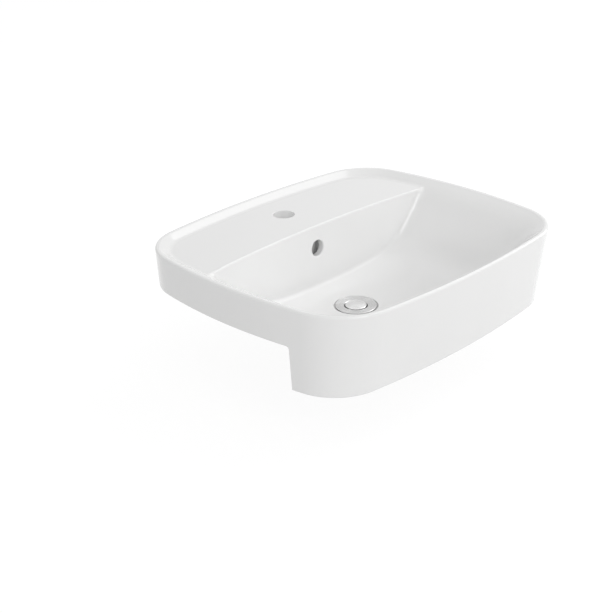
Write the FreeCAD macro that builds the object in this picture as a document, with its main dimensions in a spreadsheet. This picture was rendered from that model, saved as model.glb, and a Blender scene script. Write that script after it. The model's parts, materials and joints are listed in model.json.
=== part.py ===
import FreeCAD, Part
import math
import os
import Sketcher

# Semi recessed wash basin, in millimetres.
# +Z is up, -Y points to the user, and the basin is symmetrical about x = 0.
# The origin is the middle of the rear seat, the flat foot that the basin stands on.
# Everything below z = 0 and behind the front stop hangs in the cut-out that the basin is set in.

doc = FreeCAD.newDocument("semi_recessed_basin")
sheet = doc.addObject("Spreadsheet::Sheet", "Sizes")
Vector = FreeCAD.Vector


# ---------------------------------------------------------------- sizes

class Size:
    """A length that knows its value and the expression that binds a property to it."""

    def __init__(self, value, text):
        self.value = float(value)
        self.text = text

    def _join(self, other, sign, value):
        text = other.text if isinstance(other, Size) else repr(float(other))
        return Size(value, "(%s %s %s)" % (self.text, sign, text))

    def __add__(self, other):
        return self._join(other, "+", self.value + number(other))

    def __sub__(self, other):
        return self._join(other, "-", self.value - number(other))

    def __mul__(self, other):
        return self._join(other, "*", self.value * number(other))

    def __truediv__(self, other):
        return self._join(other, "/", self.value / number(other))

    def __neg__(self):
        return Size(-self.value, "(0 - %s)" % self.text)


def number(length):
    """The plain number of a Size or of a number."""
    return length.value if isinstance(length, Size) else float(length)


sheet_rows = []


def size(alias, value):
    """Writes one driving dimension into the sheet and hands it back as a Size."""
    sheet_rows.append(alias)
    row = len(sheet_rows)
    sheet.set("A%d" % row, alias)
    sheet.set("B%d" % row, str(value))
    sheet.setAlias("B%d" % row, alias)
    return Size(value, "Sizes.%s" % alias)


# Plan outline of the rim: eight arcs, tangent to each other.
basin_width = size("basin_width", 550)
basin_depth = size("basin_depth", 460)
end_arc_radius = size("end_arc_radius", 1460)
side_arc_radius = size("side_arc_radius", 830)
front_corner_radius = size("front_corner_radius", 97)
rear_corner_radius = size("rear_corner_radius", 92)
side_arc_setback = size("side_arc_setback", 232.5)

# Heights of the outside and how far its walls lean in.
height_above_counter = size("height_above_counter", 61)
front_height = size("front_height", 130)
side_draft = size("side_draft", 4.1)
front_draft = size("front_draft", 8.6)
rear_draft = size("rear_draft", 1.4)
counter_overhang = size("counter_overhang", 120)
step_corner_radius = size("step_corner_radius", 4)
foot_edge_radius = size("foot_edge_radius", 2)

# Walls of the casting.
skirt_wall = size("skirt_wall", 11)
bowl_wall = size("bowl_wall", 10)
deck_thickness = size("deck_thickness", 14)

# Rim, deck and bowl.
rim_width = size("rim_width", 6.5)
rim_outer_radius = size("rim_outer_radius", 3)
rim_inner_radius = size("rim_inner_radius", 3.5)
deck_drop = size("deck_drop", 9.4)
deck_depth = size("deck_depth", 147.7)
deck_edge_arc = size("deck_edge_arc", 1940)
deck_edge_radius = size("deck_edge_radius", 3)
back_wall_lean = size("back_wall_lean", 3.4)
cove_radius = size("cove_radius", 11)
bowl_depth = size("bowl_depth", 121.5)
drain_setback = size("drain_setback", 230)

# Holes of the casting.
tap_hole_diameter = size("tap_hole_diameter", 35)
tap_hole_setback = size("tap_hole_setback", 75)
tap_hole_edge_radius = size("tap_hole_edge_radius", 1)
overflow_diameter = size("overflow_diameter", 26)
overflow_drop = size("overflow_drop", 47.7)
overflow_edge_radius = size("overflow_edge_radius", 2.5)
channel_width = size("channel_width", 44)
channel_depth = size("channel_depth", 15)
channel_wall = size("channel_wall", 8)
waste_hole_diameter = size("waste_hole_diameter", 46)
waste_boss_diameter = size("waste_boss_diameter", 84)
waste_boss_height = size("waste_boss_height", 42)
waste_recess_depth = size("waste_recess_depth", 3.5)
waste_recess_gap = size("waste_recess_gap", 1.5)
waste_recess_edge_radius = size("waste_recess_edge_radius", 1.8)

# Waste: flange body, seals, nut and click-clack plug.
flange_diameter = size("flange_diameter", 66)
flange_thickness = size("flange_thickness", 2.4)
flange_dish = size("flange_dish", 0.9)
thread_diameter = size("thread_diameter", 41.91)
tube_bore = size("tube_bore", 34)
body_length = size("body_length", 97)
mouth_diameter = size("mouth_diameter", 37)
mouth_drop = size("mouth_drop", 8)
window_width = size("window_width", 11)
window_height = size("window_height", 20)
window_count = 3
web_thickness = size("web_thickness", 6)
web_drop = size("web_drop", 47)
web_hole_diameter = size("web_hole_diameter", 6.4)
web_hole_count = 6
gasket_thickness = size("gasket_thickness", 1.5)
gasket_inset = size("gasket_inset", 1.5)
lower_seal_thickness = size("lower_seal_thickness", 5)
lower_seal_diameter = size("lower_seal_diameter", 66)
slip_washer_thickness = size("slip_washer_thickness", 1.5)
slip_washer_diameter = size("slip_washer_diameter", 62)
lock_nut_height = size("lock_nut_height", 10)
lock_nut_corners = size("lock_nut_corners", 64)
thread_clearance = size("thread_clearance", 0.05)
thread_relief_width = size("thread_relief_width", 2)
thread_relief_depth = size("thread_relief_depth", 0.6)
seal_clearance = size("seal_clearance", 0.1)

cap_diameter = size("cap_diameter", 34)
cap_thickness = size("cap_thickness", 3.4)
cap_crown = size("cap_crown", 1)
cap_rise = size("cap_rise", 0.2)
plug_seal_thickness = size("plug_seal_thickness", 2.6)
plug_travel = size("plug_travel", 8)
stem_diameter = size("stem_diameter", 6)
stem_thread_depth = size("stem_thread_depth", 6)
piston_diameter = size("piston_diameter", 11)
piston_length = size("piston_length", 34)
piston_slot_width = size("piston_slot_width", 2.2)
piston_slot_depth = size("piston_slot_depth", 1.6)
sleeve_diameter = size("sleeve_diameter", 15)
sleeve_length = size("sleeve_length", 44)
sleeve_collar_diameter = size("sleeve_collar_diameter", 19)
sleeve_collar_height = size("sleeve_collar_height", 2.5)
running_clearance = size("running_clearance", 0.08)
base_cap_height = size("base_cap_height", 4)
base_cap_rim = size("base_cap_rim", 1.5)
spring_wire = size("spring_wire", 0.9)
spring_turns = 6
latch_pin_diameter = size("latch_pin_diameter", 2)

# Fixings that clamp the basin down, one on each side.
fixing_spacing = size("fixing_spacing", 310)
fixing_setback = size("fixing_setback", 62)
lug_diameter = size("lug_diameter", 28)
lug_foot_z = size("lug_foot_z", 4)
anchor_diameter = size("anchor_diameter", 10)
anchor_length = size("anchor_length", 22)
anchor_collar_diameter = size("anchor_collar_diameter", 15)
anchor_collar_height = size("anchor_collar_height", 1.5)
stud_diameter = size("stud_diameter", 6)
stud_length = size("stud_length", 78)
counter_thickness = size("counter_thickness", 18)
claw_width = size("claw_width", 22)
claw_thickness = size("claw_thickness", 3)
claw_height = size("claw_height", 14)
claw_reach = size("claw_reach", 46)
claw_tail = size("claw_tail", 14)
fixing_washer_diameter = size("fixing_washer_diameter", 18)
fixing_washer_thickness = size("fixing_washer_thickness", 1.6)
wing_nut_height = size("wing_nut_height", 8)
wing_nut_diameter = size("wing_nut_diameter", 11)
wing_diameter = size("wing_diameter", 16)
wing_thickness = size("wing_thickness", 2.4)
wing_offset = size("wing_offset", 10)

doc.recompute()


# ---------------------------------------------------------------- places

def tangent(angle):
    """Tangent of an angle in degrees."""
    return math.tan(math.radians(number(angle)))


# The rear wall's foot is centred on the origin.
REAR_LEAN = number(height_above_counter) * tangent(rear_draft)
REAR_EDGE_Y = REAR_LEAN + number(skirt_wall) / 2
rear_edge = size("rear_edge", round(REAR_EDGE_Y, 3))
rim_z = height_above_counter
skirt_foot_z = height_above_counter - front_height
front_edge = rear_edge - basin_depth
front_stop = front_edge + counter_overhang
deck_z = rim_z - deck_drop
drain_y = rear_edge - drain_setback
bowl_floor_z = rim_z - bowl_depth
recess_floor_z = bowl_floor_z - waste_recess_depth
boss_foot_z = bowl_floor_z - waste_boss_height
flange_top_z = recess_floor_z + gasket_thickness + flange_thickness
outlet_z = flange_top_z - body_length
web_top_z = flange_top_z - web_drop
sleeve_foot_z = web_top_z + sleeve_collar_height - sleeve_length
fixing_y = rear_edge - fixing_setback
claw_foot_z = -(counter_thickness + claw_height + claw_thickness / 2)
doc.recompute()


# ---------------------------------------------------------------- helpers

def bind(thing, prop, length):
    """Binds a property of a document object to the sheet."""
    thing.setExpression(prop, length.text)


def place(thing, x=None, y=None, z=None):
    """Binds the position of a document object, axis by axis."""
    for axis, length in (("x", x), ("y", y), ("z", z)):
        if length is not None:
            bind(thing, ".Placement.Base.%s" % axis, length)


def box(name, corner, sides):
    """A box with its lowest corner and its three sides given as Sizes."""
    solid = doc.addObject("Part::Box", name)
    for prop, side in zip(("Length", "Width", "Height"), sides):
        bind(solid, prop, side)
    place(solid, *corner)
    return solid


def cylinder(name, diameter, foot, top, x=None, y=None):
    """An upright cylinder from one height to another."""
    solid = doc.addObject("Part::Cylinder", name)
    bind(solid, "Radius", diameter / 2)
    bind(solid, "Height", top - foot)
    place(solid, x, y, foot)
    return solid


def cut(name, base, tool):
    result = doc.addObject("Part::Cut", name)
    result.Base = base
    result.Tool = tool
    return result


def fuse(name, solids):
    result = doc.addObject("Part::MultiFuse", name)
    result.Shapes = solids
    return result


def common(name, solids):
    result = doc.addObject("Part::MultiCommon", name)
    result.Shapes = solids
    return result


def free_solid(name, shape):
    """A solid made point by point, where no primitive or sketch fits."""
    feature = doc.addObject("Part::Feature", name)
    feature.Shape = shape
    return feature


def round_edges(name, base, chosen, radius):
    """Rounds every edge of the base that the chooser accepts."""
    doc.recompute()
    edges = [i + 1 for i, edge in enumerate(base.Shape.Edges) if chosen(edge)]
    if not edges:
        raise ValueError("no edge to round for " + name)
    result = doc.addObject("Part::Fillet", name)
    result.Base = base
    result.Edges = [(i, number(radius), number(radius)) for i in edges]
    doc.recompute()
    if "Invalid" in result.State or result.Shape.isNull() or not result.Shape.isValid():
        raise ValueError("rounding failed: " + name)
    return result


def body(label):
    new_body = doc.addObject("PartDesign::Body", label)
    new_body.Label = label
    return new_body


def sketch_on(owner, plane, name):
    """A sketch on one of the body's own origin planes."""
    sketch = owner.newObject("Sketcher::SketchObject", name)
    origin_plane = [p for p in owner.Origin.OriginFeatures if p.Role == plane][0]
    sketch.AttachmentSupport = [(origin_plane, "")]
    sketch.MapMode = "FlatFace"
    return sketch


def constrain(sketch, length, *arguments):
    """Adds a dimension and binds it to the sheet."""
    index = sketch.addConstraint(Sketcher.Constraint(*arguments, number(length)))
    sketch.setExpression("Constraints[%d]" % index, length.text)


START, END, CENTRE = range(1, 4)
ORIGIN = (-1, START)
H_AXIS, V_AXIS = -1, -2


def pin_point(sketch, line, corner):
    """Fixes the start of a line at its corner, dimensioned from the sketch origin."""
    for kind, axis, length in (("DistanceX", V_AXIS, corner[0]), ("DistanceY", H_AXIS, corner[1])):
        if length is None:
            sketch.addConstraint(Sketcher.Constraint("PointOnObject", line, START, axis))
        elif number(length) > 0:
            constrain(sketch, length, kind, ORIGIN[0], ORIGIN[1], line, START)
        else:
            constrain(sketch, -length, kind, line, START, ORIGIN[0], ORIGIN[1])


def outline_sketch(sketch, corners):
    """A closed outline of straight lines; None in a corner means that it lies on that axis."""
    points = [Vector(*[0.0 if c is None else number(c) for c in corner], 0) for corner in corners]
    for i, point in enumerate(points):
        sketch.addGeometry(Part.LineSegment(point, points[(i + 1) % len(points)]), False)
    for i in range(len(points)):
        sketch.addConstraint(Sketcher.Constraint("Coincident", i, END, (i + 1) % len(points), START))
    for i, corner in enumerate(corners):
        pin_point(sketch, i, corner)
    return sketch


def turned(owner, name, corners):
    """Turns an outline of (radius, height) corners about the body's upright axis."""
    sketch = outline_sketch(sketch_on(owner, "XZ_Plane", name + "_section"), corners)
    feature = owner.newObject("PartDesign::Revolution", name)
    feature.Profile = sketch
    feature.ReferenceAxis = (sketch, ["V_Axis"])
    feature.Angle = 360
    return feature


def pocket_through(owner, name, sketch, reach, midplane=True):
    """Cuts the sketch through the body, the given reach in all."""
    feature = owner.newObject("PartDesign::Pocket", name)
    feature.Profile = sketch
    feature.Type = 0
    feature.SideType = 2 if midplane else 0
    bind(feature, "Length", reach)
    return feature


def polar(owner, name, feature, count, angle=360.0):
    """Repeats a feature about the body's upright axis."""
    pattern = owner.newObject("PartDesign::PolarPattern", name)
    pattern.Originals = [feature]
    upright = [a for a in owner.Origin.OriginFeatures if a.Role == "Z_Axis"][0]
    pattern.Axis = (upright, [""])
    pattern.Angle = angle
    pattern.Occurrences = count
    owner.Tip = pattern
    return pattern


def circle_sketch(sketch, radius, x=None):
    """A circle on the sketch's horizontal axis, a given way from the origin."""
    centre_x = 0.0 if x is None else number(x)
    sketch.addGeometry(Part.Circle(Vector(centre_x, 0, 0), Vector(0, 0, 1), number(radius)), False)
    constrain(sketch, radius, "Radius", 0)
    if x is None:
        sketch.addConstraint(Sketcher.Constraint("Coincident", 0, CENTRE, *ORIGIN))
    else:
        sketch.addConstraint(Sketcher.Constraint("PointOnObject", 0, CENTRE, H_AXIS))
        constrain(sketch, x, "DistanceX", *ORIGIN, 0, CENTRE)
    return sketch


# ---------------------------------------------------------------- plan outline

class Outline:
    """The rim's plan outline, or the same outline drawn in by its own amount on each side."""

    def __init__(self, side=0.0, front=0.0, rear=0.0):
        self.half_width = basin_width / 2 - side
        self.front = front_edge + front
        self.rear = rear_edge - rear
        self.front_corner = front_corner_radius - (side + front) / 2
        self.rear_corner = rear_corner_radius - (side + rear) / 2
        self.side_y = rear_edge - side_arc_setback

    def arcs(self):
        """Centre, radius and end points of the arcs, anticlockwise from the front."""
        end = number(end_arc_radius)
        side = number(side_arc_radius)
        front_corner = number(self.front_corner)
        rear_corner = number(self.rear_corner)
        front_centre = Vector(0, number(self.front) + end, 0)
        rear_centre = Vector(0, number(self.rear) - end, 0)
        right_centre = Vector(number(self.half_width) - side, number(self.side_y), 0)
        front_right = meeting(front_centre, end - front_corner, right_centre, side - front_corner, -1)
        rear_right = meeting(rear_centre, end - rear_corner, right_centre, side - rear_corner, 1)
        touch_front = along(front_centre, front_right, end)
        touch_side_front = along(right_centre, front_right, side)
        touch_side_rear = along(right_centre, rear_right, side)
        touch_rear = along(rear_centre, rear_right, end)
        right_half = [
            (front_right, front_corner, touch_front, touch_side_front),
            (right_centre, side, touch_side_front, touch_side_rear),
            (rear_right, rear_corner, touch_side_rear, touch_rear),
        ]
        left_half = [
            (mirrored(centre), radius, mirrored(end_point), mirrored(start))
            for centre, radius, start, end_point in reversed(right_half)
        ]
        front_arc = (front_centre, end, mirrored(touch_front), touch_front)
        rear_arc = (rear_centre, end, touch_rear, mirrored(touch_rear))
        return [front_arc] + right_half + [rear_arc] + left_half

    def wire(self, height=0.0):
        edges = []
        for centre, radius, start, end_point in self.arcs():
            middle = centre + ((start + end_point) / 2 - centre).normalize() * radius
            edges.append(Part.Arc(start, middle, end_point).toShape())
        outline = Part.Wire(edges)
        outline.translate(Vector(0, 0, height))
        return outline


def meeting(centre_a, radius_a, centre_b, radius_b, side):
    """The point at both distances, towards the front (-1) or the rear (1)."""
    across = centre_b - centre_a
    distance = across.Length
    reach = (radius_a ** 2 - radius_b ** 2 + distance ** 2) / (2 * distance)
    height = math.sqrt(radius_a ** 2 - reach ** 2)
    direction = across / distance
    foot = centre_a + direction * reach
    normal = Vector(-direction.y, direction.x, 0) * height
    candidates = [foot + normal, foot - normal]
    return max(candidates, key=lambda point: side * point.y)


def along(start, through, distance):
    return start + (through - start).normalize() * distance


def mirrored(point):
    return Vector(-point.x, point.y, point.z)


def angle_of(centre, point):
    return math.atan2(point.y - centre.y, point.x - centre.x)


ARC_COUNT = 8
FRONT, FRONT_RIGHT, RIGHT, REAR_RIGHT, REAR, REAR_LEFT, LEFT, FRONT_LEFT = range(ARC_COUNT)


def outline_at(name, outline, height):
    """A constrained sketch of an outline at one height."""
    sketch = doc.addObject("Sketcher::SketchObject", name)
    place(sketch, z=height)
    for centre, radius, start, end_point in outline.arcs():
        circle = Part.Circle(centre, Vector(0, 0, 1), radius)
        first = angle_of(centre, start)
        last = angle_of(centre, end_point)
        sketch.addGeometry(Part.ArcOfCircle(circle, first, last), False)
    for arc in range(ARC_COUNT):
        sketch.addConstraint(Sketcher.Constraint("Tangent", arc, END, (arc + 1) % ARC_COUNT, START))
    for arc in (FRONT, REAR):
        sketch.addConstraint(Sketcher.Constraint("PointOnObject", arc, CENTRE, V_AXIS))
    constrain(sketch, end_arc_radius, "Radius", FRONT)
    constrain(sketch, end_arc_radius, "Radius", REAR)
    constrain(sketch, side_arc_radius, "Radius", RIGHT)
    constrain(sketch, outline.front_corner, "Radius", FRONT_RIGHT)
    constrain(sketch, outline.rear_corner, "Radius", REAR_RIGHT)
    for one, other in ((RIGHT, LEFT), (FRONT_RIGHT, FRONT_LEFT), (REAR_RIGHT, REAR_LEFT)):
        sketch.addConstraint(Sketcher.Constraint("Equal", one, other))
    constrain(sketch, outline.front + end_arc_radius, "DistanceY", *ORIGIN, FRONT, CENTRE)
    constrain(sketch, end_arc_radius - outline.rear, "DistanceY", REAR, CENTRE, *ORIGIN)
    constrain(sketch, side_arc_radius - outline.half_width, "DistanceX", RIGHT, CENTRE, *ORIGIN)
    constrain(sketch, -outline.side_y, "DistanceY", RIGHT, CENTRE, *ORIGIN)
    sketch.addConstraint(Sketcher.Constraint("Symmetric", RIGHT, CENTRE, LEFT, CENTRE, V_AXIS))
    return sketch


def loft(name, sketches):
    solid = doc.addObject("Part::Loft", name)
    solid.Sections = sketches
    solid.Solid = True
    solid.Ruled = True
    return solid


def lean(draft, drop):
    """How far a leaning wall has come in after a drop."""
    return drop * tangent(draft)


def outline_below(drop, wall=0):
    """The outside's outline after a drop from the rim, drawn in by a wall as well."""
    return Outline(
        lean(side_draft, drop) + wall,
        lean(front_draft, drop) + wall,
        lean(rear_draft, drop) + wall,
    )


# ---------------------------------------------------------------- bowl surface

# Reach of the three highest levels, as shares of the rim's own: sides, front, rear.
RIM_SHARES = (1.0, 1.0, 1.0)
HALF_WAY_SHARES = (0.962, 0.984, 0.973)
DECK_LEVEL_SHARES = (0.930, 0.966, 0.952)

# Each level further down, as shares of the bowl's depth and of the rim's reach from the drain:
# (share of depth, sides, front, rear, squareness, roundness)
# squareness is the exponent of the round part, roundness how much of it there is.
BOWL_LEVELS = [
    (0.206, 0.868, 0.911, 0.920, 3.2, 0.15),
    (0.410, 0.799, 0.829, 0.815, 3.0, 0.40),
    (0.615, 0.731, 0.727, 0.640, 2.8, 0.65),
    (0.776, 0.653, 0.598, 0.448, 2.7, 0.90),
    (0.860, 0.553, 0.489, 0.375, 2.5, 1.00),
    (0.930, 0.440, 0.370, 0.288, 2.3, 1.00),
    (0.965, 0.345, 0.291, 0.244, 2.2, 1.00),
    (0.985, 0.250, 0.230, 0.210, 2.1, 1.00),
]
LIKE_RIM = (4.0, 0.0)
LIKE_CIRCLE = (2.0, 1.0)
BOWL_POINTS = 72
OUTLINE_SAMPLES = 1600
RISE_OVER_RIM = 5.0
FLOOR_MARGIN = 2.5
FIRST_OUTSIDE_LEVEL = 2
HOLLOW_REACH = 1.02


class RimReach:
    """Reach of the rim's inner edge from above the drain, in any direction."""

    def __init__(self):
        self.centre = Vector(0, number(drain_y), 0)
        outline = Outline(rim_width, rim_width, rim_width)
        points = outline.wire().discretize(Number=OUTLINE_SAMPLES)
        polar_points = sorted((angle_of(self.centre, p), (p - self.centre).Length) for p in points)
        self.angles = [angle for angle, reach in polar_points]
        self.reaches = [reach for angle, reach in polar_points]

    def at(self, angle):
        angle = math.atan2(math.sin(angle), math.cos(angle))
        for i in range(1, len(self.angles)):
            if self.angles[i] >= angle:
                share = (angle - self.angles[i - 1]) / (self.angles[i] - self.angles[i - 1])
                return self.reaches[i - 1] + share * (self.reaches[i] - self.reaches[i - 1])
        return self.reaches[-1]


rim_reach = RimReach()
SIDE_REACH = rim_reach.at(0)
FRONT_REACH = rim_reach.at(-math.pi / 2)
REAR_REACH = rim_reach.at(math.pi / 2)


def level_wire(depth, side, front, rear, squareness, roundness):
    """One closed curve of the bowl, from its reach to the sides, the front and the rear."""
    points = []
    for i in range(BOWL_POINTS):
        angle = 2 * math.pi * i / BOWL_POINTS
        across, forward = math.cos(angle), math.sin(angle)
        end, end_reach = (front, FRONT_REACH) if forward < 0 else (rear, REAR_REACH)
        inset = (SIDE_REACH - side) * across ** 2 + (end_reach - end) * forward ** 2
        like_rim = rim_reach.at(angle) - inset
        round_sum = abs(across / side) ** squareness + abs(forward / end) ** squareness
        rounded = round_sum ** (-1 / squareness)
        reach = (1 - roundness) * like_rim + roundness * rounded
        x = rim_reach.centre.x + reach * across
        y = rim_reach.centre.y + reach * forward
        points.append(Vector(x, y, number(rim_z) - depth))
    curve = Part.BSplineCurve()
    turns = [i / BOWL_POINTS for i in range(BOWL_POINTS + 1)]
    curve.interpolate(Points=points, PeriodicFlag=True, Parameters=turns)
    return Part.Wire([curve.toShape()])


def rim_shares(side, front, rear):
    """Reaches to the sides, the front and the rear, from shares of the rim's own."""
    return side * SIDE_REACH, front * FRONT_REACH, rear * REAR_REACH


def bowl_levels():
    """All levels in millimetres: depth below the rim, reaches and shape."""
    drop = number(deck_drop)
    depth = number(bowl_depth)
    floor_reach = number(flange_diameter) / 2 + number(waste_recess_gap) + FLOOR_MARGIN
    levels = [
        (0.0, *rim_shares(*RIM_SHARES), *LIKE_RIM),
        (drop / 2, *rim_shares(*HALF_WAY_SHARES), *LIKE_RIM),
        (drop, *rim_shares(*DECK_LEVEL_SHARES), *LIKE_RIM),
    ]
    for share, side, front, rear, squareness, roundness in BOWL_LEVELS:
        levels.append((share * depth, *rim_shares(side, front, rear), squareness, roundness))
    levels.append((depth, floor_reach, floor_reach, floor_reach, *LIKE_CIRCLE))
    return levels


def bowl_inside():
    return Part.makeLoft([level_wire(*level) for level in bowl_levels()], True, False)


def bowl_outside():
    """The same levels moved out by the wall, square to the bowl's slope."""
    wall = number(bowl_wall)
    levels = bowl_levels()
    wires = []
    for i in range(FIRST_OUTSIDE_LEVEL, len(levels)):
        depth, side, front, rear, squareness, roundness = levels[i]
        above = levels[i - 1]
        below = levels[min(i + 1, len(levels) - 1)]
        slope = math.atan2(below[0] - above[0], above[1] - below[1])
        out, down = wall * math.sin(slope), wall * math.cos(slope)
        if i == len(levels) - 1:
            out, down = wall, wall
        wires.append(level_wire(depth + down, side + out, front + out, rear + out, squareness, roundness))
    return Part.makeLoft(wires, True, False)


# ---------------------------------------------------------------- basin

def zone(name, extra):
    """The bowl's side of the leaning back wall, or the same and a wall thickness more."""
    foot = bowl_depth + bowl_wall * 2
    above = deck_drop + RISE_OVER_RIM * 2
    cone = doc.addObject("Part::Cone", name)
    lean_rate = tangent(back_wall_lean)
    bind(cone, "Radius2", deck_edge_arc + extra + above * lean_rate)
    bind(cone, "Radius1", deck_edge_arc + extra - (foot - deck_drop) * lean_rate)
    bind(cone, "Height", foot - deck_drop + above)
    place(cone, y=rear_edge - deck_depth - deck_edge_arc, z=rim_z - foot)
    return cone


EXACT = 0.05
ROUGHLY = 1.0


def near(value, target, slack=EXACT):
    return abs(value - number(target)) < slack


def at_height(edge, height):
    return near(edge.BoundBox.ZMin, height) and near(edge.BoundBox.ZMax, height)


def skirt():
    """The outside walls: a flat foot at the rear and a deeper skirt that hangs at the front."""
    outer = loft("skirt_outer", [
        outline_at("rim_outline", Outline(), rim_z),
        outline_at("foot_outline", outline_below(front_height), skirt_foot_z),
    ])
    roof_drop = deck_drop + deck_thickness
    foot_drop = front_height * HOLLOW_REACH
    hollow = loft("skirt_hollow", [
        outline_at("hollow_roof_outline", outline_below(roof_drop, skirt_wall), rim_z - roof_drop),
        outline_at("hollow_foot_outline", outline_below(foot_drop, skirt_wall), rim_z - foot_drop),
    ])
    counter = box(
        "counter_room",
        (-basin_width, front_stop, skirt_foot_z * 2),
        (basin_width * 2, basin_depth, -skirt_foot_z * 2),
    )
    shell = cut("skirt_shell", outer, hollow)
    return cut("stepped_skirt", shell, counter)


def bowl_cavity():
    """What the bowl and the sunk deck take away, with the deck edge and the coves rounded."""
    under_deck = bowl_depth + bowl_wall * 2
    deck_room = box(
        "deck_room",
        (-basin_width, drain_y - deck_depth, deck_z - under_deck),
        (basin_width * 2, basin_depth, under_deck),
    )
    deck_block = cut("deck_block", deck_room, zone("bowl_zone", 0))

    def on_deck_edge(edge):
        return at_height(edge, deck_z) and edge.Curve.TypeId == "Part::GeomCircle"

    edged_block = round_edges("edged_deck_block", deck_block, on_deck_edge, deck_edge_radius)
    sharp = cut("sharp_cavity", free_solid("dish", bowl_inside()), edged_block)
    wall_front = number(rear_edge - deck_depth) - number(cove_radius) * 2

    def on_cove(edge):
        middle = edge.valueAt((edge.FirstParameter + edge.LastParameter) / 2)
        along_wall = edge.Curve.TypeId == "Part::GeomBSplineCurve" and middle.y > wall_front
        return along_wall and edge.BoundBox.ZMax < number(rim_z) - ROUGHLY

    return round_edges("cavity", sharp, on_cove, cove_radius)


def rounded_box(name, corner, sides, radius):
    """A box with its four upright edges rounded."""
    plain = box(name + "_plain", corner, sides)
    return round_edges(name, plain, lambda edge: near(edge.BoundBox.ZLength, sides[2]), radius)


def overflow():
    """The channel behind and under the bowl: its walls and the room inside."""
    roof_z = deck_z - deck_thickness
    channel_y = rear_edge - deck_depth + channel_wall
    half_channel = channel_width / 2
    channel_foot_z = boss_foot_z + channel_wall * 2
    channel_top_z = rim_z - overflow_drop + overflow_diameter / 2 + channel_wall / 4
    walls_width = channel_width + channel_wall * 2
    walls_depth = channel_depth + channel_wall * 2
    walls = rounded_box(
        "channel_walls",
        (-(walls_width / 2), channel_y - channel_wall, channel_foot_z - channel_wall),
        (walls_width, walls_depth, roof_z - channel_foot_z + channel_wall * 2),
        channel_wall,
    )
    run_under_bowl = box(
        "channel_run_walls",
        (-(walls_width / 2), drain_y, channel_foot_z - channel_wall),
        (walls_width, channel_y - drain_y + channel_wall, walls_depth),
    )
    fall_room = box(
        "channel_room",
        (-half_channel, channel_y, channel_foot_z),
        (channel_width, channel_depth, channel_top_z - channel_foot_z),
    )
    run_room = box(
        "channel_run_room",
        (-half_channel, drain_y, channel_foot_z),
        (channel_width, channel_y - drain_y + channel_depth, channel_depth),
    )
    hole = doc.addObject("Part::Cylinder", "overflow_hole")
    bind(hole, "Radius", overflow_diameter / 2)
    bind(hole, "Height", cove_radius * 4)
    hole.Placement.Rotation = FreeCAD.Rotation(Vector(1, 0, 0), 90)
    place(hole, y=channel_y + channel_depth / 2, z=rim_z - overflow_drop)
    return [walls, run_under_bowl], [fall_room, run_room, hole]


def fixing_lugs():
    """Two solid pillars under the deck, each with a blind hole for its anchor."""
    pillars, holes = [], []
    roof_z = deck_z - deck_thickness / 2
    hole_diameter = anchor_diameter + seal_clearance * 2
    hole_foot_z = lug_foot_z - anchor_length / 2
    hole_top_z = lug_foot_z + anchor_length
    for side, x in (("right", fixing_spacing / 2), ("left", -(fixing_spacing / 2))):
        pillars.append(cylinder(side + "_lug", lug_diameter, lug_foot_z, roof_z, x, fixing_y))
        holes.append(cylinder(side + "_lug_hole", hole_diameter, hole_foot_z, hole_top_z, x, fixing_y))
    return pillars, holes


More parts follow.
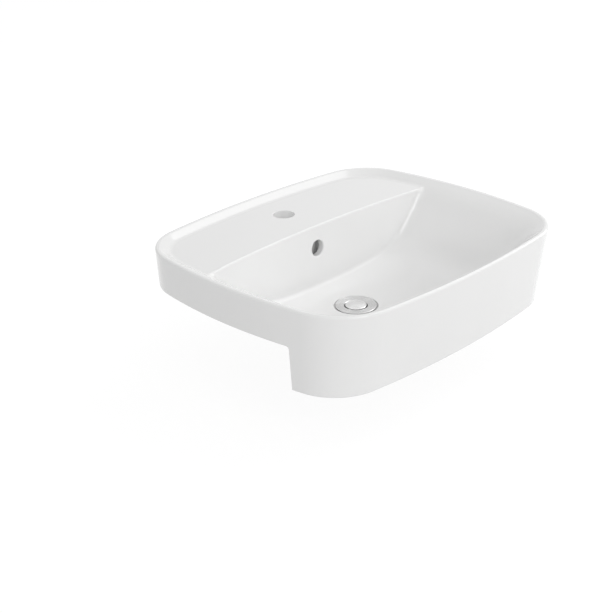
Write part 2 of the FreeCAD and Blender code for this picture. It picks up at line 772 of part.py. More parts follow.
def basin():
    """The ceramic casting in one piece."""
    dish = free_solid("dish_outside", bowl_outside())
    shell = common("bowl_shell", [dish, zone("shell_zone", bowl_wall)])
    boss = cylinder("waste_boss", waste_boss_diameter, boss_foot_z, bowl_floor_z, y=drain_y)
    channel_walls, channel_rooms = overflow()
    pillars, lug_holes = fixing_lugs()
    blank = fuse("blank", [skirt(), shell, boss] + channel_walls + pillars)
    tap_y = rear_edge - tap_hole_setback
    tap_hole = cylinder("tap_hole", tap_hole_diameter, deck_z - deck_thickness * 2, rim_z, y=tap_y)
    hole_foot_z = boss_foot_z - waste_recess_depth
    waste_hole = cylinder("waste_hole", waste_hole_diameter, hole_foot_z, bowl_floor_z, y=drain_y)
    recess_diameter = flange_diameter + waste_recess_gap * 2
    recess = cylinder("waste_recess", recess_diameter, recess_floor_z, rim_z, y=drain_y)
    room = fuse("room", [bowl_cavity(), tap_hole, waste_hole, recess] + channel_rooms + lug_holes)
    casting = cut("casting", blank, room)
    doc.recompute()

    def on_outer_rim(edge):
        an_arc = edge.Curve.TypeId == "Part::GeomCircle"
        return an_arc and at_height(edge, rim_z) and edge.Curve.Radius > number(rear_corner_radius) - ROUGHLY

    def on_inner_rim(edge):
        return at_height(edge, rim_z) and edge.Curve.TypeId != "Part::GeomCircle"

    def on_step_corner(edge):
        span = edge.BoundBox
        return at_height(edge, 0) and near(span.YMin, front_stop) and near(span.YMax, front_stop)

    def on_outer_foot(edge):
        on_counter = at_height(edge, 0) and edge.BoundBox.YMax > number(front_stop) + ROUGHLY
        if not (on_counter or at_height(edge, skirt_foot_z)):
            return False
        middle = edge.valueAt((edge.FirstParameter + edge.LastParameter) / 2)
        outside = outline_below(number(rim_z) - middle.z).wire(middle.z)
        return Part.Vertex(middle).distToShape(outside)[0] < number(skirt_wall) / 4

    def on_tap_hole(edge):
        return at_height(edge, deck_z) and near(edge.Length, tap_hole_diameter * math.pi, ROUGHLY)

    def on_recess(edge):
        return at_height(edge, bowl_floor_z) and near(edge.Length, recess_diameter * math.pi, ROUGHLY)

    def on_overflow(edge):
        span = edge.BoundBox
        round_hole = near(span.XLength, overflow_diameter, ROUGHLY)
        at_hole = near((span.ZMin + span.ZMax) / 2, rim_z - overflow_drop, ROUGHLY * 2)
        return round_hole and at_hole and span.YMax < number(rear_edge - deck_depth + channel_wall / 2)

    holed = round_edges("holed_casting", casting, on_tap_hole, tap_hole_edge_radius)
    drained = round_edges("drained_casting", holed, on_recess, waste_recess_edge_radius)
    spilled = round_edges("overflow_casting", drained, on_overflow, overflow_edge_radius)
    stepped = round_edges("stepped_casting", spilled, on_step_corner, step_corner_radius)
    footed = round_edges("footed_casting", stepped, on_outer_foot, foot_edge_radius)
    rimmed = round_edges("rimmed_casting", footed, on_outer_rim, rim_outer_radius)
    return round_edges("basin", rimmed, on_inner_rim, rim_inner_radius)


# ---------------------------------------------------------------- waste

def ring(label, inner, outer, thickness, x=None, y=None, z=None):
    """A flat ring standing on its own base, made in one turn."""
    solid = body(label)
    corners = [(inner, None), (outer, None), (outer, thickness), (inner, thickness)]
    turned(solid, label + "_turn", corners)
    place(solid, x, y, z)
    return solid


HALF_TURN = 180.0


def waste_body():
    """Flanged and threaded tube, with windows for the overflow and a web for the cartridge."""
    solid = body("waste_body")
    thread = thread_diameter / 2
    bore = tube_bore / 2
    rim = flange_diameter / 2
    edge = flange_thickness / 3
    web_top = body_length - web_drop
    hub_bore = sleeve_diameter / 2 + running_clearance
    relief_top = lock_nut_z - outlet_z
    relief_foot = relief_top - thread_relief_width
    turned(solid, "waste_body_turn", [
        (bore, None),
        (thread, None),
        (thread, relief_foot),
        (thread - thread_relief_depth, relief_foot),
        (thread - thread_relief_depth, relief_top),
        (thread, relief_top),
        (thread, body_length - flange_thickness),
        (rim - edge, body_length - flange_thickness),
        (rim, body_length - flange_thickness + edge),
        (rim, body_length - edge),
        (rim - edge, body_length),
        (mouth_diameter / 2 + edge, body_length - flange_dish),
        (mouth_diameter / 2, body_length - flange_dish - edge),
        (bore, body_length - mouth_drop),
        (bore, web_top),
        (hub_bore, web_top),
        (hub_bore, web_top - web_thickness),
        (bore, web_top - web_thickness),
    ])
    window = sketch_on(solid, "XZ_Plane", "overflow_window_outline")
    window_foot = web_top + web_thickness / 4
    half = window_width / 2
    outline_sketch(window, [
        (-half, window_foot),
        (half, window_foot),
        (half, window_foot + window_height),
        (-half, window_foot + window_height),
    ])
    windows = pocket_through(solid, "overflow_window", window, thread_diameter * 2)
    polar(solid, "overflow_windows", windows, window_count, HALF_TURN - HALF_TURN / window_count)
    drain = sketch_on(solid, "XY_Plane", "web_hole_outline")
    circle_sketch(drain, web_hole_diameter / 2, (hub_bore + bore) / 2)
    holes = pocket_through(solid, "web_hole", drain, (web_top + web_thickness) * 2)
    polar(solid, "web_holes", holes, web_hole_count)
    place(solid, y=drain_y, z=outlet_z)
    return solid


NUT_SIDES = 6


def lock_nut():
    """Six-sided nut that draws the flange down on the ceramic."""
    solid = body("lock_nut")
    sketch = sketch_on(solid, "XY_Plane", "lock_nut_outline")
    corner = number(lock_nut_corners) / 2
    turns = [2 * math.pi * i / NUT_SIDES for i in range(NUT_SIDES)]
    corners = [Vector(corner * math.cos(turn), corner * math.sin(turn), 0) for turn in turns]
    for i, point in enumerate(corners):
        sketch.addGeometry(Part.LineSegment(point, corners[(i + 1) % NUT_SIDES]), False)
    round_corners = sketch.addGeometry(Part.Circle(Vector(0, 0, 0), Vector(0, 0, 1), corner), True)
    for i in range(NUT_SIDES):
        sketch.addConstraint(Sketcher.Constraint("Coincident", i, END, (i + 1) % NUT_SIDES, START))
        sketch.addConstraint(Sketcher.Constraint("PointOnObject", i, START, round_corners))
    for i in range(NUT_SIDES - 1):
        sketch.addConstraint(Sketcher.Constraint("Equal", i, i + 1))
    sketch.addConstraint(Sketcher.Constraint("Coincident", round_corners, CENTRE, *ORIGIN))
    constrain(sketch, lock_nut_corners / 2, "Radius", round_corners)
    sketch.addConstraint(Sketcher.Constraint("PointOnObject", 0, START, H_AXIS))
    pad = solid.newObject("PartDesign::Pad", "lock_nut_block")
    pad.Profile = sketch
    bind(pad, "Length", lock_nut_height)
    bore = circle_sketch(
        sketch_on(solid, "XY_Plane", "lock_nut_bore_outline"), thread_diameter / 2 + thread_clearance
    )
    pocket_through(solid, "lock_nut_bore", bore, lock_nut_height * 3)
    place(solid, y=drain_y, z=lock_nut_z)
    return solid


lower_seal_z = boss_foot_z - lower_seal_thickness
slip_washer_z = lower_seal_z - slip_washer_thickness
lock_nut_z = slip_washer_z - lock_nut_height
tube_fit = thread_diameter / 2 + seal_clearance


# ---------------------------------------------------------------- click plug

# The plug's cap is shown closed: its edge stands a little above the flange.
cap_foot_z = flange_top_z + cap_rise - cap_thickness
cap_boss_height = plug_seal_thickness * 2
cap_boss_radius = cap_diameter / 5
mouth_slope = (mouth_diameter - tube_bore) / 2 / (mouth_drop - flange_dish - flange_thickness / 3)


def mouth_radius(drop):
    """Radius of the waste's conical mouth at a drop below the flange."""
    return mouth_diameter / 2 - (drop - flange_dish - flange_thickness / 3) * mouth_slope


def plug_cap():
    solid = body("plug_cap")
    edge = cap_thickness / 4
    bore = stem_diameter / 2 + thread_clearance
    top = cap_boss_height + cap_thickness
    turned(solid, "plug_cap_turn", [
        (bore, None),
        (cap_boss_radius, None),
        (cap_boss_radius, cap_boss_height),
        (cap_diameter / 2, cap_boss_height),
        (cap_diameter / 2, top - edge),
        (cap_diameter / 2 - edge, top),
        (cap_diameter / 4, top + cap_crown * 0.75),
        (None, top + cap_crown),
        (None, stem_thread_depth),
        (bore, stem_thread_depth),
    ])
    place(solid, y=drain_y, z=cap_foot_z - cap_boss_height)
    return solid


def plug_seal():
    """Rubber ring under the cap, coned like the mouth that it closes."""
    solid = body("plug_seal")
    drop = cap_thickness - cap_rise
    inner = cap_boss_radius + seal_clearance
    gap = seal_clearance
    turned(solid, "plug_seal_turn", [
        (inner, None),
        (mouth_radius(drop + plug_seal_thickness) - gap, None),
        (mouth_radius(drop) - gap, plug_seal_thickness),
        (inner, plug_seal_thickness),
    ])
    place(solid, y=drain_y, z=cap_foot_z - plug_seal_thickness)
    return solid


def rod(label, diameter, foot, top):
    """A plain round rod standing over the drain."""
    solid = body(label)
    sketch = circle_sketch(sketch_on(solid, "XY_Plane", label + "_outline"), diameter / 2)
    pad = solid.newObject("PartDesign::Pad", label + "_pad")
    pad.Profile = sketch
    bind(pad, "Length", top - foot)
    place(solid, y=drain_y, z=foot)
    return solid


piston_top_z = web_top_z + sleeve_collar_height + stem_thread_depth / 6
piston_foot_z = piston_top_z - piston_length
stem_foot_z = piston_top_z - stem_thread_depth
stem_top_z = cap_foot_z - cap_boss_height + stem_thread_depth
base_cap_top_z = sleeve_foot_z + base_cap_height
pin_z = piston_top_z - stem_thread_depth * 2
piston_bore = piston_diameter / 2 + running_clearance


def piston():
    """Slides in the sleeve, carries the stem and has a slot for the latch pin."""
    solid = body("cartridge_piston")
    bore = stem_diameter / 2 + thread_clearance
    turned(solid, "piston_turn", [
        (None, None),
        (piston_diameter / 2, None),
        (piston_diameter / 2, piston_length),
        (bore, piston_length),
        (bore, piston_length - stem_thread_depth),
        (None, piston_length - stem_thread_depth),
    ])
    pin_height = pin_z - piston_foot_z
    slot_top = pin_height + piston_slot_width / 2
    slot_foot = pin_height - plug_travel - piston_slot_width / 2
    slot = sketch_on(solid, "YZ_Plane", "latch_slot_outline")
    half = piston_slot_width / 2
    outline_sketch(slot, [(-half, slot_foot), (half, slot_foot), (half, slot_top), (-half, slot_top)])
    groove = solid.newObject("PartDesign::Pocket", "latch_slot")
    groove.Profile = slot
    groove.Type = 0
    groove.SideType = 0
    groove.Reversed = True
    bind(groove, "Length", piston_diameter)
    place(solid, y=drain_y, z=piston_foot_z)
    return solid


def sleeve():
    """Hangs by its collar in the web of the waste and guides the piston."""
    solid = body("cartridge_sleeve")
    shoulder = sleeve_length - sleeve_collar_height
    turned(solid, "sleeve_turn", [
        (piston_bore, None),
        (sleeve_diameter / 2, None),
        (sleeve_diameter / 2, shoulder),
        (sleeve_collar_diameter / 2, shoulder),
        (sleeve_collar_diameter / 2, sleeve_length),
        (piston_bore, sleeve_length),
    ])
    hole = sketch_on(solid, "YZ_Plane", "latch_pin_hole_outline")
    hole.addGeometry(Part.Circle(Vector(0, number(pin_z - sleeve_foot_z), 0), Vector(0, 0, 1), 1), False)
    hole.addConstraint(Sketcher.Constraint("PointOnObject", 0, CENTRE, V_AXIS))
    constrain(hole, pin_z - sleeve_foot_z, "DistanceY", *ORIGIN, 0, CENTRE)
    constrain(hole, latch_pin_diameter / 2 + thread_clearance, "Radius", 0)
    drilled = solid.newObject("PartDesign::Pocket", "latch_pin_hole")
    drilled.Profile = hole
    drilled.Type = 0
    drilled.SideType = 0
    drilled.Reversed = True
    bind(drilled, "Length", sleeve_diameter)
    place(solid, y=drain_y, z=sleeve_foot_z)
    return solid


def base_cap():
    """Closes the sleeve from below and carries the spring."""
    solid = body("cartridge_base")
    plug = piston_bore - thread_clearance
    turned(solid, "base_cap_turn", [
        (None, None),
        (sleeve_diameter / 2, None),
        (sleeve_diameter / 2, base_cap_rim),
        (plug, base_cap_rim),
        (plug, base_cap_rim + base_cap_height),
        (None, base_cap_rim + base_cap_height),
    ])
    place(solid, y=drain_y, z=sleeve_foot_z - base_cap_rim)
    return solid


def spring():
    """Coil between the base and the piston, shown pressed together."""
    room = piston_foot_z - base_cap_top_z
    coil_radius = piston_diameter / 2 - spring_wire * 1.5
    helix = doc.addObject("Part::Helix", "spring_line")
    bind(helix, "Radius", coil_radius)
    bind(helix, "Height", room - spring_wire)
    bind(helix, "Pitch", (room - spring_wire) / spring_turns)
    section = doc.addObject("Part::Circle", "spring_section")
    bind(section, "Radius", spring_wire / 2)
    section.Placement.Rotation = FreeCAD.Rotation(Vector(1, 0, 0), 90)
    place(section, x=coil_radius)
    doc.recompute()
    coil = doc.addObject("Part::Sweep", "cartridge_spring")
    coil.Sections = [section]
    coil.Spine = (helix, ["Edge%d" % (i + 1) for i in range(len(helix.Shape.Edges))])
    coil.Solid = True
    coil.Frenet = True
    place(coil, y=drain_y, z=base_cap_top_z + spring_wire / 2)
    return coil


def latch_pin():
    """Short cross pin through the sleeve wall, with its tip in the piston's slot."""
    pin = doc.addObject("Part::Cylinder", "latch_pin")
    tip = piston_diameter / 2 - piston_slot_depth
    bind(pin, "Radius", latch_pin_diameter / 2)
    bind(pin, "Height", sleeve_diameter / 2 - tip)
    pin.Placement.Rotation = FreeCAD.Rotation(Vector(0, 1, 0), 90)
    place(pin, x=tip, y=drain_y, z=pin_z)
    return pin


# ---------------------------------------------------------------- clamps and their fixings

def both_sides(label, right):
    """The same fixing on both sides of the basin, in one node."""
    left = doc.addObject("Part::Mirroring", label + "_left")
    left.Source = right
    left.Normal = Vector(1, 0, 0)
    left.Base = Vector(0, 0, 0)
    pair = doc.addObject("Part::Compound", label)
    pair.Links = [right, left]
    pair.Label = label
    return pair


stud_top_z = lug_foot_z + anchor_length - anchor_collar_height * 2
anchor_bore = stud_diameter / 2 + thread_clearance
washer_z = claw_foot_z - fixing_washer_thickness
wing_nut_z = washer_z - wing_nut_height
fixing_x = fixing_spacing / 2


def anchors():
    """Collared plastic plugs pressed up into the pillars."""
    solid = body("right_anchor")
    height = anchor_length + anchor_collar_height - anchor_collar_height * 2
    turned(solid, "right_anchor_turn", [
        (anchor_bore, None),
        (anchor_collar_diameter / 2, None),
        (anchor_collar_diameter / 2, anchor_collar_height),
        (anchor_diameter / 2, anchor_collar_height),
        (anchor_diameter / 2, height),
        (anchor_bore, height),
    ])
    place(solid, fixing_x, fixing_y, lug_foot_z - anchor_collar_height)
    return both_sides("fixing_anchors", solid)


def studs():
    return both_sides(
        "fixing_studs",
        cylinder("right_stud", stud_diameter, stud_top_z - stud_length, stud_top_z, fixing_x, fixing_y),
    )


def claws():
    """Strips with an upturned end that bears upwards, below the rear wall."""
    solid = body("right_claw")
    sketch = sketch_on(solid, "YZ_Plane", "right_claw_outline")
    outline_sketch(sketch, [
        (-claw_tail, None),
        (claw_reach, None),
        (claw_reach, claw_height),
        (claw_reach - claw_thickness, claw_height),
        (claw_reach - claw_thickness, claw_thickness),
        (-claw_tail, claw_thickness),
    ])
    pad = solid.newObject("PartDesign::Pad", "right_claw_strip")
    pad.Profile = sketch
    pad.SideType = 2
    bind(pad, "Length", claw_width)
    hole_plane = sketch_on(solid, "XY_Plane", "right_claw_hole_outline")
    hole = circle_sketch(hole_plane, anchor_bore + thread_clearance * 3)
    pocket_through(solid, "right_claw_hole", hole, claw_height * 2)
    place(solid, fixing_x, fixing_y, claw_foot_z)
    return both_sides("clamp_claws", solid)


def claw_pads():
    """Soft shoes pushed over the upturned ends."""
    solid = body("right_pad")
    wall = claw_thickness / 2
    gap = seal_clearance
    sketch = sketch_on(solid, "YZ_Plane", "right_pad_outline")
    pad_height = claw_height / 2
    outline_sketch(sketch, [
        (-(claw_thickness + gap + wall), -pad_height),
        (-(claw_thickness + gap), -pad_height),
        (-(claw_thickness + gap), None),
        (gap, None),
        (gap, -pad_height),
        (wall + gap, -pad_height),
        (wall + gap, wall),
        (-(claw_thickness + gap + wall), wall),
    ])
    pad = solid.newObject("PartDesign::Pad", "right_pad_shoe")
    pad.Profile = sketch
    pad.SideType = 2
    bind(pad, "Length", claw_width - gap * 2)
    place(solid, fixing_x, fixing_y + claw_reach, claw_foot_z + claw_height)
    return both_sides("claw_pads", solid)


def washers():
    bore = anchor_bore + thread_clearance * 3
    outer = fixing_washer_diameter / 2
    solid = ring("right_washer", bore, outer, fixing_washer_thickness, fixing_x, fixing_y, washer_z)
    return both_sides("clamp_washers", solid)


def wing_nuts():
    """Round nuts with two flat wings, turned by hand."""
    hub = cylinder("right_wing_hub", wing_nut_diameter, wing_nut_z, washer_z, fixing_x, fixing_y)
    wings = []
    for name, side in (("right_wing_inner", -1), ("right_wing_outer", 1)):
        wing = doc.addObject("Part::Cylinder", name)
        bind(wing, "Radius", wing_diameter / 2)
        bind(wing, "Height", wing_thickness)
        wing.Placement.Rotation = FreeCAD.Rotation(Vector(1, 0, 0), 90)
        place(wing, fixing_x + wing_offset * side, fixing_y + wing_thickness / 2, wing_nut_z)
        wings.append(wing)
    clear_top = box(
        "right_wing_room",
        (fixing_x - wing_diameter, fixing_y - wing_diameter * 2, washer_z),
        (wing_diameter * 2, wing_diameter * 4, wing_diameter),
    )
    bore_foot = wing_nut_z - wing_diameter
    bore_top = washer_z + wing_diameter
    bore = cylinder("right_wing_bore", anchor_bore * 2, bore_foot, bore_top, fixing_x, fixing_y)
    blank = fuse("right_wing_blank", [hub] + wings)
    solid = cut("right_wing_nut", blank, fuse("right_wing_rooms", [clear_top, bore]))
    return both_sides("wing_nuts", solid)


# ---------------------------------------------------------------- all pieces

def labelled(thing, label):
    thing.Label = label
    return thing


def tube_ring(label, outer, thickness, z):
    """A ring round the waste's tube."""
    return ring(label, tube_fit, outer, thickness, y=drain_y, z=z)


pieces = [
    labelled(basin(), "basin"),
    tube_ring("upper_gasket", flange_diameter / 2 - gasket_inset, gasket_thickness, recess_floor_z),
    waste_body(),
    tube_ring("lower_seal", lower_seal_diameter / 2, lower_seal_thickness, lower_seal_z),
    tube_ring("slip_washer", slip_washer_diameter / 2, slip_washer_thickness, slip_washer_z),
    lock_nut(),
    plug_cap(),
    plug_seal(),
    rod("plug_stem", stem_diameter, stem_foot_z, stem_top_z),
    piston(),
    sleeve(),
    base_cap(),
    spring(),
    latch_pin(),
    anchors(),
    studs(),
    claws(),
    claw_pads(),
    washers(),
    wing_nuts(),
]
doc.recompute()

faulty = [thing.Name for thing in doc.Objects if "Invalid" in thing.State or "Error" in thing.State]
if faulty:
    raise ValueError("objects in error: " + ", ".join(faulty))
for piece in pieces:
    if piece.Shape.isNull() or not piece.Shape.isValid():
        raise ValueError("no sound shape: " + piece.Label)

os.makedirs("parts", exist_ok=True)
for piece in pieces:
    piece.Shape.exportStep("parts/%s.step" % piece.Label)
    bounds = piece.Shape.BoundBox
    print(
        "%-18s solids %d volume %9.0f z %7.2f to %7.2f"
        % (piece.Label, len(piece.Shape.Solids), piece.Shape.Volume, bounds.ZMin, bounds.ZMax)
    )
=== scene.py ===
import bpy
import json
import math
from mathutils import Matrix, Vector


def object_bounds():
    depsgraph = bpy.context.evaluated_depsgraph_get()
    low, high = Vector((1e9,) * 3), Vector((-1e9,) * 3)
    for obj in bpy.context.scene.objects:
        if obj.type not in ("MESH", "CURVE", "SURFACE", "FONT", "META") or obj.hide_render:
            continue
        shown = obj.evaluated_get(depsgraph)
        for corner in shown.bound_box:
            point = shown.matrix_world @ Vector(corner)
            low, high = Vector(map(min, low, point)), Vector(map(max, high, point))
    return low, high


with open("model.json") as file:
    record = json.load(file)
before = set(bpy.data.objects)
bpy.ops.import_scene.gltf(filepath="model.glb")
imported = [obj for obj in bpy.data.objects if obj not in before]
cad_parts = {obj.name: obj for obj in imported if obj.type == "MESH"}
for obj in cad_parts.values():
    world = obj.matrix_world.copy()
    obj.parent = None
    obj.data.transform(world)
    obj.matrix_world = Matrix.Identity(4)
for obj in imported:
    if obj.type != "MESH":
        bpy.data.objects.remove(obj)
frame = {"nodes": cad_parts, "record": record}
cad_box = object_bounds()

# The span that a noise texture really fills.
NOISE_LOW = 0.3
NOISE_HIGH = 0.7

# The glaze's body colour, its gloss and its waviness.
GLAZE_DARK = (0.875, 0.875, 0.872)
GLAZE_LIGHT = (0.89, 0.89, 0.887)
GLAZE_ROUGHNESS = (0.10, 0.16)
GLAZE_IOR = 1.5
COAT_WEIGHT = 0.35
COAT_ROUGHNESS = 0.04
WAVE_DISTANCE = 0.001

# How far metal and soft grain stands up.
GRAIN_DISTANCE = 0.0002

# A quarter turn lays the sheen across the rings.
ACROSS_THE_RINGS = 0.25

# The paper floor and the room.
FLOOR_SIZE = 60
FLOOR_GAP = 0.0005
FLOOR_GREY = (0.8, 0.8, 0.8, 1)
PAPER_GLOW = 1.1
PAPER_SHARE = 0.82
WHITE = (1, 1, 1, 1)
AMBIENT = 0.593
BACKDROP = 1.0

# Lamps stand at one distance from the middle of the basin: direction, size in metres, power in watts.
MIDDLE = Vector((0, -0.23, 0))
LAMP_DISTANCE = 3.2
SOFT_LAMPS = {
    "overhead": ((0.68, -0.2, 0.7), 2.4, 25),
    "front_left": ((-0.35, -0.9, 0.5), 1.6, 23.5),
    "right_low": ((0.9, -0.3, 0.15), 1.6, 14),
    "left_fill": ((-0.9, -0.3, 0.3), 1.6, 2.7),
}
METAL_LAMP = ((0.15, 0.6, 0.74), 0.4, 26)
METAL_NODES = ("waste_body", "plug_cap")

# The camera: its place in metres, its turn about Z and its rise above the basin in degrees.
CAMERA_PLACE = Vector((-1.45493, -1.52378, 0.84201))
CAMERA_TURN = -48.509
CAMERA_RISE = 25.245
CAMERA_LENS = 80.42
CAMERA_SENSOR = 36
CAMERA_SHIFT = (-0.0916, 0.0136)
CAMERA_NEAR = 0.05


# ------------------------------------------------------------ node helpers

def new_material(name):
    """A material with one Principled shader: the material, its tree, the shader and the output."""
    material = bpy.data.materials.new(name)
    material.use_nodes = True
    tree = material.node_tree
    tree.nodes.clear()
    output = tree.nodes.new("ShaderNodeOutputMaterial")
    shader = tree.nodes.new("ShaderNodeBsdfPrincipled")
    tree.links.new(shader.outputs["BSDF"], output.inputs["Surface"])
    return material, tree, shader, output


def noise(tree, scale, detail=2.0, roughness=0.5):
    """Noise in object space."""
    coordinates = tree.nodes.new("ShaderNodeTexCoord")
    texture = tree.nodes.new("ShaderNodeTexNoise")
    texture.inputs["Scale"].default_value = scale
    texture.inputs["Detail"].default_value = detail
    texture.inputs["Roughness"].default_value = roughness
    tree.links.new(coordinates.outputs["Object"], texture.inputs["Vector"])
    return texture.outputs["Fac"]


def vector_math(tree, operation, source, by=None):
    """One step of vector arithmetic, by a constant where one is given."""
    node = tree.nodes.new("ShaderNodeVectorMath")
    node.operation = operation
    tree.links.new(source, node.inputs[0])
    if by:
        node.inputs[1].default_value = by
    return node.outputs


def spread(tree, factor, low, high):
    """Maps a noise to a span."""
    mapped = tree.nodes.new("ShaderNodeMapRange")
    mapped.inputs["From Min"].default_value = NOISE_LOW
    mapped.inputs["From Max"].default_value = NOISE_HIGH
    mapped.inputs["To Min"].default_value = low
    mapped.inputs["To Max"].default_value = high
    tree.links.new(factor, mapped.inputs["Value"])
    return mapped.outputs["Result"]


def tint(tree, factor, dark, light):
    """Maps a noise to a colour between two."""
    ramp = tree.nodes.new("ShaderNodeValToRGB")
    first, last = ramp.color_ramp.elements
    first.position = NOISE_LOW
    first.color = (*dark, 1)
    last.position = NOISE_HIGH
    last.color = (*light, 1)
    tree.links.new(factor, ramp.inputs["Fac"])
    return ramp.outputs["Color"]


def bump(tree, shader, height, strength, distance=GRAIN_DISTANCE):
    """Raises a noise out of the surface."""
    node = tree.nodes.new("ShaderNodeBump")
    node.inputs["Strength"].default_value = strength
    node.inputs["Distance"].default_value = distance
    tree.links.new(height, node.inputs["Height"])
    tree.links.new(node.outputs["Normal"], shader.inputs["Normal"])


def grained(tree, shader, grain, colours, roughness, depth):
    """Gives colour, roughness and relief from one grain."""
    tree.links.new(tint(tree, grain, *colours), shader.inputs["Base Color"])
    tree.links.new(spread(tree, grain, *roughness), shader.inputs["Roughness"])
    bump(tree, shader, grain, depth)


def greys(dark, light):
    """Two plain greys."""
    return (dark,) * 3, (light,) * 3


# ------------------------------------------------------------ materials

def glaze():
    """White vitreous glaze: a clear coat over an even white body, with the faintest waviness."""
    material, tree, shader, output = new_material("white_glaze")
    cloud = noise(tree, 6.0, 3.0)
    gloss = noise(tree, 40.0)
    wave = noise(tree, 18.0, 1.0)
    tree.links.new(tint(tree, cloud, GLAZE_DARK, GLAZE_LIGHT), shader.inputs["Base Color"])
    tree.links.new(spread(tree, gloss, *GLAZE_ROUGHNESS), shader.inputs["Roughness"])
    shader.inputs["IOR"].default_value = GLAZE_IOR
    shader.inputs["Coat Weight"].default_value = COAT_WEIGHT
    shader.inputs["Coat Roughness"].default_value = COAT_ROUGHNESS
    bump(tree, shader, wave, 0.02, WAVE_DISTANCE)
    return material


def metal(name, colours, roughness):
    """Drawn or cast metal with a fine even grain."""
    material, tree, shader, output = new_material(name)
    shader.inputs["Metallic"].default_value = 1.0
    grained(tree, shader, noise(tree, 60.0, 4.0, 0.6), colours, roughness, 0.05)
    return material


def turned(name, colours, roughness, rings, drawn):
    """Metal turned on a lathe: fine rings round the node's own axis, and a sheen drawn out across them."""
    material, tree, shader, output = new_material(name)
    shader.inputs["Metallic"].default_value = 1.0
    shader.inputs["Anisotropic"].default_value = drawn
    shader.inputs["Anisotropic Rotation"].default_value = ACROSS_THE_RINGS
    coordinates = tree.nodes.new("ShaderNodeTexCoord")
    from_axis = vector_math(tree, "SUBTRACT", coordinates.outputs["Generated"], (0.5, 0.5, 0))
    flat = vector_math(tree, "MULTIPLY", from_axis["Vector"], (1, 1, 0))
    reach = vector_math(tree, "LENGTH", flat["Vector"])
    grain = tree.nodes.new("ShaderNodeTexNoise")
    grain.noise_dimensions = "1D"
    grain.inputs["Scale"].default_value = rings
    grain.inputs["Detail"].default_value = 3.0
    tree.links.new(reach["Value"], grain.inputs["W"])
    grained(tree, shader, grain.outputs["Fac"], colours, roughness, 0.04)
    tangent = tree.nodes.new("ShaderNodeTangent")
    tangent.direction_type = "RADIAL"
    tangent.axis = "Z"
    tree.links.new(tangent.outputs["Tangent"], shader.inputs["Tangent"])
    return material


def soft(name, colours, roughness):
    """Rubber or moulded plastic with a fine matt grain."""
    material, tree, shader, output = new_material(name)
    grained(tree, shader, noise(tree, 300.0, 3.0, 0.6), colours, roughness, 0.15)
    return material


FINISHES = {
    "white_glaze": glaze(),
    "brushed_steel_ring": turned("brushed_ring", greys(0.64, 0.7), (0.2, 0.3), rings=60.0, drawn=0.85),
    "cap_chrome": turned("cap_metal", greys(0.78, 0.84), (0.16, 0.24), rings=45.0, drawn=0.85),
    "nut_brass": metal("brass", ((0.5, 0.36, 0.16), (0.66, 0.5, 0.25)), (0.25, 0.4)),
    "zinc_steel": metal("zinc", ((0.5, 0.51, 0.53), (0.66, 0.67, 0.7)), (0.3, 0.45)),
    "spring_steel": metal("spring", ((0.35, 0.35, 0.36), (0.5, 0.5, 0.5)), (0.25, 0.4)),
    "black_rubber": soft("rubber", greys(0.02, 0.04), (0.55, 0.75)),
    "black_plastic": soft("dark_plastic", greys(0.03, 0.05), (0.4, 0.55)),
    "grey_plastic": soft("grey_plastic", ((0.4, 0.41, 0.42), (0.5, 0.5, 0.51)), (0.35, 0.5)),
}

slots = {entry["node"]: entry["material_slot"] for entry in frame["record"]["subparts"]}
for name, thing in frame["nodes"].items():
    thing.data.materials.clear()
    thing.data.materials.append(FINISHES[slots[name]])


# ------------------------------------------------------------ floor and light

def seen_directly(tree):
    """1 for rays that look straight, by mirror or through glass; 0 for rays that light the piece."""
    path = tree.nodes.new("ShaderNodeLightPath")
    seen = path.outputs["Is Camera Ray"]
    for kind in ("Is Glossy Ray", "Is Transmission Ray"):
        either = tree.nodes.new("ShaderNodeMath")
        either.operation = "MAXIMUM"
        tree.links.new(seen, either.inputs[0])
        tree.links.new(path.outputs[kind], either.inputs[1])
        seen = either.outputs["Value"]
    return seen


def mixed(tree, share, first, second, surface):
    """Puts a mix of two shaders on a surface."""
    mix = tree.nodes.new("ShaderNodeMixShader")
    tree.links.new(share, mix.inputs["Fac"])
    tree.links.new(first, mix.inputs[1])
    tree.links.new(second, mix.inputs[2])
    tree.links.new(mix.outputs["Shader"], surface)


def paper_floor(height):
    """White paper to the eye, which keeps a soft shadow, and a plain pale floor to the light."""
    bpy.ops.mesh.primitive_plane_add(size=FLOOR_SIZE, location=(0, 0, height))
    floor = bpy.context.object
    floor.name = "floor"
    material, tree, shader, output = new_material("floor_paint")
    shader.inputs["Base Color"].default_value = FLOOR_GREY
    shader.inputs["Roughness"].default_value = 0.95
    shader.inputs["Specular IOR Level"].default_value = 0.1
    paper = tree.nodes.new("ShaderNodeEmission")
    paper.inputs["Color"].default_value = WHITE
    paper.inputs["Strength"].default_value = PAPER_GLOW
    share = tree.nodes.new("ShaderNodeMath")
    share.operation = "MULTIPLY"
    share.inputs[1].default_value = PAPER_SHARE
    tree.links.new(seen_directly(tree), share.inputs[0])
    mixed(tree, share.outputs[0], shader.outputs["BSDF"], paper.outputs["Emission"], output.inputs["Surface"])
    floor.data.materials.append(material)


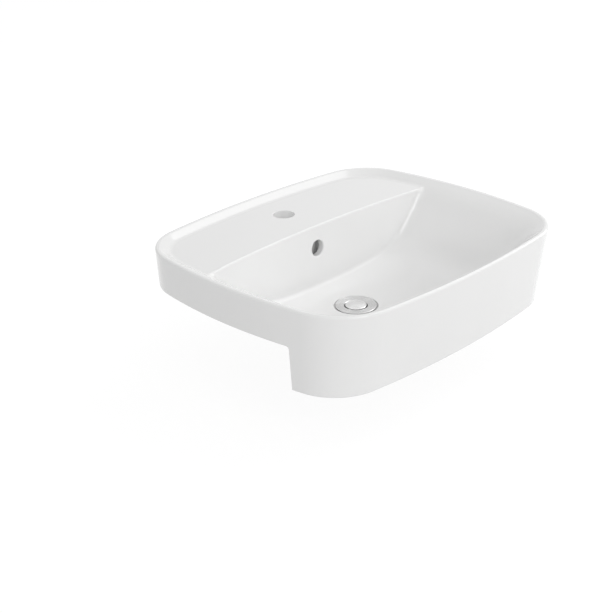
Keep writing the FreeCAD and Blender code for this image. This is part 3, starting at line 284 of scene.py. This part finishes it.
def white_surround():
    """An even white room: dimmer as a light than it looks."""
    world = bpy.data.worlds.new("studio")
    bpy.context.scene.world = world
    world.use_nodes = True
    tree = world.node_tree
    ambient = tree.nodes["Background"]
    ambient.inputs["Color"].default_value = WHITE
    ambient.inputs["Strength"].default_value = AMBIENT
    backdrop = tree.nodes.new("ShaderNodeBackground")
    backdrop.inputs["Color"].default_value = WHITE
    backdrop.inputs["Strength"].default_value = BACKDROP
    surface = tree.nodes["World Output"].inputs["Surface"]
    mixed(tree, seen_directly(tree), ambient.outputs["Background"], backdrop.outputs["Background"], surface)


def soft_box(name, direction, size, power):
    """A square lamp at the studio's distance, turned to the middle of the basin."""
    data = bpy.data.lights.new(name, "AREA")
    data.shape = "SQUARE"
    data.size = size
    data.energy = power
    lamp = bpy.data.objects.new(name, data)
    bpy.context.scene.collection.objects.link(lamp)
    towards = Vector(direction).normalized()
    lamp.location = MIDDLE + towards * LAMP_DISTANCE
    lamp.rotation_euler = (-towards).to_track_quat("-Z", "Y").to_euler()
    return lamp


def metal_light():
    """A small lamp that draws the streak across the turned metal, and lights nothing else."""
    lamp = soft_box("behind", *METAL_LAMP)
    lit = bpy.data.collections.new("turned_metal")
    for name in METAL_NODES:
        lit.objects.link(frame["nodes"][name])
    lamp.light_linking.receiver_collection = lit


paper_floor(cad_box[0][2] - FLOOR_GAP)
white_surround()
for name, lamp in SOFT_LAMPS.items():
    soft_box(name, *lamp)
metal_light()


# ------------------------------------------------------------ camera

def aim_camera():
    """Looks down at the basin from its front left."""
    turn = math.radians(CAMERA_TURN)
    rise = math.radians(CAMERA_RISE)
    back = Vector((math.sin(turn) * math.cos(rise), -math.cos(turn) * math.cos(rise), math.sin(rise)))
    right = Vector((math.cos(turn), math.sin(turn), 0))
    up = back.cross(right)
    data = bpy.data.cameras.new("camera")
    data.sensor_width = CAMERA_SENSOR
    data.lens = CAMERA_LENS
    data.shift_x, data.shift_y = CAMERA_SHIFT
    data.clip_start = CAMERA_NEAR
    camera = bpy.data.objects.new("camera", data)
    bpy.context.scene.collection.objects.link(camera)
    axes = Matrix((right, up, back)).transposed().to_4x4()
    camera.matrix_world = Matrix.Translation(CAMERA_PLACE) @ axes
    bpy.context.scene.camera = camera


aim_camera()
bpy.context.scene.view_settings.view_transform = "Standard"
